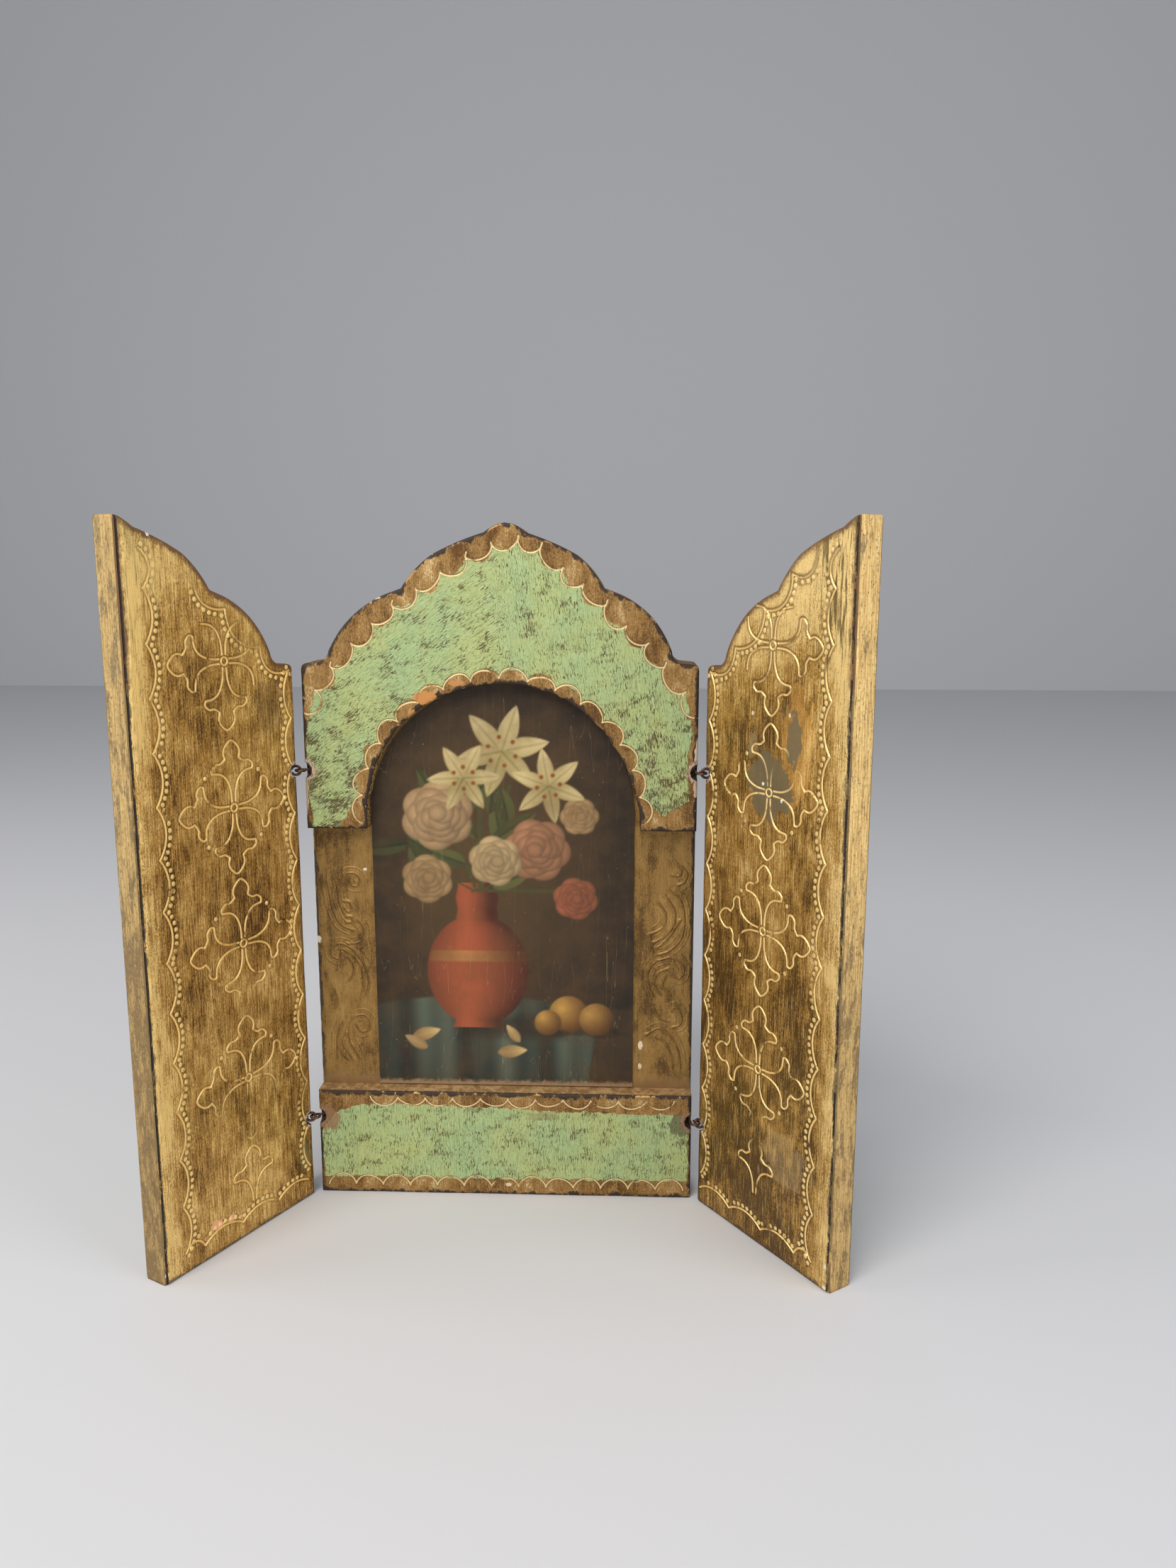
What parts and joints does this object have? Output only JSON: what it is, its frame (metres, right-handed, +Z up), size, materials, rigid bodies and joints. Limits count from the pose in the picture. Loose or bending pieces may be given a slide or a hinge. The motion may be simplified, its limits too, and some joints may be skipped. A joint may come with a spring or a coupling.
{
  "type": "folding triptych altarpiece",
  "caption": "Small gilded folding triptych: a crested centre panel with a print recessed behind a painted arch, and tooled wings that close over it on linked wire eyes.",
  "frame": {"origin": "middle of the centre panel's underside, half way through its thickness", "axes": "+X to the right as seen from the front, +Y from the front to the back of the centre panel, +Z up"},
  "size_m": [0.1673, 0.0565, 0.1782],
  "materials": {
    "gilding": "worn, toned gold leaf over red ground on carved wood",
    "green_paint": "sage green paint with dark brushed streaks and gilt scalloped borders",
    "print": "varnished colour print, browned",
    "wire": "browned iron wire"
  },
  "bodies": {
    "centre": {"back_board": "gilding", "arch_front": "green_paint", "base_front": "green_paint", "picture": "print", "eye_centre_left_lower": "wire", "eye_centre_left_upper": "wire", "eye_centre_right_lower": "wire", "eye_centre_right_upper": "wire"},
    "left_wing": {"wing_left": "gilding", "eye_wing_left_lower": "wire", "eye_wing_left_upper": "wire"},
    "right_wing": {"wing_right": "gilding", "eye_wing_right_lower": "wire", "eye_wing_right_upper": "wire"}
  },
  "joints": [
    {"name": "left_wing_hinge", "type": "hinge", "parent": "centre", "child": "left_wing", "pos_m": [-0.051, -0.00637, 0.07], "axis": [0, 0, 1], "range_deg": [-76.3, 118.7]},
    {"name": "right_wing_hinge", "type": "hinge", "parent": "centre", "child": "right_wing", "pos_m": [0.051, -0.00637, 0.07], "axis": [0, 0, -1], "range_deg": [-70.2, 124.8]}
  ]
}
